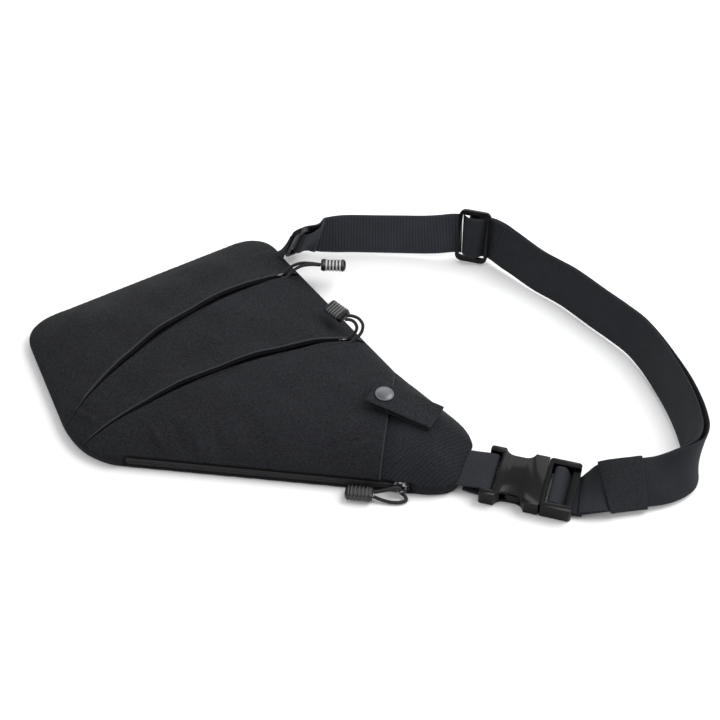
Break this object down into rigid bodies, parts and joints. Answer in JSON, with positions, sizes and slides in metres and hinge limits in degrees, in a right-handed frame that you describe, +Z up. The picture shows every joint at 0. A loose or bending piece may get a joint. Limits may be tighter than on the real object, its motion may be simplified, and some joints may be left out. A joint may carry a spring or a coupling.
{
  "type": "sling bag",
  "caption": "Flat tapered sling bag lying on its back, with curved front zips, a side zip, a snap tab and an adjustable webbing strap closed by a side-release buckle.",
  "frame": {"origin": "on the flat rest face under the back panel, near the middle of the bag body", "axes": "+X runs along the side zip from the wide end to the buckle, +Y away from the side zip, +Z up from the back panel"},
  "size_m": [0.5664, 0.3103, 0.0502],
  "materials": {
    "shell": "charcoal heather woven fabric",
    "back": "plain charcoal woven fabric",
    "foam": "soft closed-cell padding",
    "lining": "thin smooth lining cloth",
    "tape": "black woven zip tape",
    "coil": "black nylon coil",
    "slider": "black enamel with worn bright edges",
    "cord": "black braided cord",
    "grip": "dark grey moulded grip",
    "webbing": "charcoal ribbed webbing",
    "elastic": "black knitted elastic",
    "plastic": "black satin moulded plastic",
    "cap": "gunmetal",
    "brass": "dull nickelled brass"
  },
  "bodies": {
    "bag": {"front_upper_panel": "shell", "front_middle_panel": "shell", "front_lower_panel": "shell", "tip_panel": "shell", "back_panel": "back", "back_foam": "foam", "main_pocket_lining": "lining", "upper_pocket_lining": "lining", "middle_pocket_lining": "lining", "upper_zip_tape_left": "tape", "upper_zip_tape_right": "tape", "middle_zip_tape_left": "tape", "middle_zip_tape_right": "tape", "side_zip_tape_left": "tape", "side_zip_tape_right": "tape", "upper_zip_coil_left": "coil", "upper_zip_coil_right": "coil", "middle_zip_coil_left": "coil", "middle_zip_coil_right": "coil", "side_zip_coil_left": "coil", "side_zip_coil_right": "coil", "corner_webbing": "webbing", "tip_webbing": "webbing", "buckle_female": "plastic", "snap_tab_base": "webbing", "snap_stud": "brass", "snap_post": "brass", "strap_single": "webbing", "strap_outer_layer": "webbing", "strap_inner_layer": "webbing"},
    "upper_slider": {"upper_zip_slider": "slider"},
    "middle_slider": {"middle_zip_slider": "slider"},
    "side_slider": {"side_zip_slider": "slider"},
    "upper_pull": {"upper_pull_cord": "cord", "upper_pull_grip": "grip"},
    "middle_pull": {"middle_pull_cord": "cord", "middle_pull_grip": "grip"},
    "side_pull": {"side_pull_cord": "cord", "side_pull_grip": "grip"},
    "snap_flap": {"snap_tab_flap": "webbing", "snap_cap": "cap", "snap_socket": "brass"},
    "buckle_plug": {"buckle_male": "plastic", "strap_turn": "webbing"},
    "prong_left": {"buckle_prong_left": "plastic"},
    "prong_right": {"buckle_prong_right": "plastic"},
    "tri_glide": {"tri_glide": "plastic", "strap_sewn_end": "webbing"},
    "corner_ring": {"corner_ring": "plastic"},
    "keeper": {"keeper_band": "elastic"}
  },
  "joints": [
    {"name": "upper_zip_slide", "type": "hinge", "parent": "bag", "child": "upper_slider", "pos_m": [0.20427, -0.17257, -0.23216], "axis": [-0.4842, 0.3819, -0.7872], "range_deg": [-29.5, 0]},
    {"name": "middle_zip_slide", "type": "hinge", "parent": "bag", "child": "middle_slider", "pos_m": [0.18845, -0.29555, -0.31821], "axis": [-0.3985, 0.5946, -0.6984], "range_deg": [-25.8, 0]},
    {"name": "side_zip_slide", "type": "slide", "parent": "bag", "child": "side_slider", "axis": [1, 0, 0], "range_m": [-0.21, 0]},
    {"name": "upper_pull_swing", "type": "hinge", "parent": "upper_slider", "child": "upper_pull", "pos_m": [0.0281, 0.1031, 0.0152], "axis": [0.6416, -0.7668, 0.0167], "range_deg": [0, 110], "deforming": ["upper_pull_cord"]},
    {"name": "middle_pull_swing", "type": "hinge", "parent": "middle_slider", "child": "middle_pull", "pos_m": [0.0932, 0.0274, 0.0163], "axis": [0.4284, -0.9035, 0.0112], "range_deg": [0, 38], "deforming": ["middle_pull_cord"]},
    {"name": "side_pull_swing", "type": "hinge", "parent": "side_slider", "child": "side_pull", "pos_m": [0.1573, -0.1214, 0.0067], "axis": [0, 0, 1], "range_deg": [0, 40], "deforming": ["side_pull_cord"]},
    {"name": "snap_tab_lift", "type": "hinge", "parent": "bag", "child": "snap_flap", "pos_m": [0.1791, -0.0617, 0.0278], "axis": [0.342, 0.9397, 0], "range_deg": [0, 150], "deforming": ["snap_tab_flap"]},
    {"name": "buckle_release", "type": "slide", "parent": "bag", "child": "buckle_plug", "axis": [0.9877, -0.1564, 0], "range_m": [0, 0.036], "deforming": ["strap_outer_layer", "strap_inner_layer"]},
    {"name": "left_prong_squeeze", "type": "hinge", "parent": "buckle_plug", "child": "prong_left", "pos_m": [0.27028, -0.08975, 0.0066], "axis": [0, 0, 1], "range_deg": [0, 6], "stiffness_Nm_per_rad": 0.3},
    {"name": "right_prong_squeeze", "type": "hinge", "parent": "buckle_plug", "child": "prong_right", "pos_m": [0.26596, -0.11701, 0.0066], "axis": [0, 0, 1], "range_deg": [-6, 0], "stiffness_Nm_per_rad": 0.3},
    {"name": "strap_length", "type": "slide", "parent": "bag", "child": "tri_glide", "axis": [0.9875, -0.1579, 0.0034], "range_m": [-0.06, 0], "deforming": ["strap_single", "strap_outer_layer", "strap_inner_layer"]},
    {"name": "corner_ring_turn", "type": "hinge", "parent": "bag", "child": "corner_ring", "pos_m": [0.0362, 0.1407, 0.0244], "axis": [0.2932, -0.3564, 0.8871], "range_deg": [-12, 12], "deforming": ["corner_webbing", "strap_single"]},
    {"name": "keeper_slide", "type": "slide", "parent": "buckle_plug", "child": "keeper", "axis": [-0.9726, -0.231, -0.0252], "range_m": [-0.012, 0.008], "deforming": ["strap_outer_layer", "strap_inner_layer"]}
  ],
  "couplings": [
    {"joint": "right_prong_squeeze", "follows": "left_prong_squeeze", "ratio": -1}
  ]
}
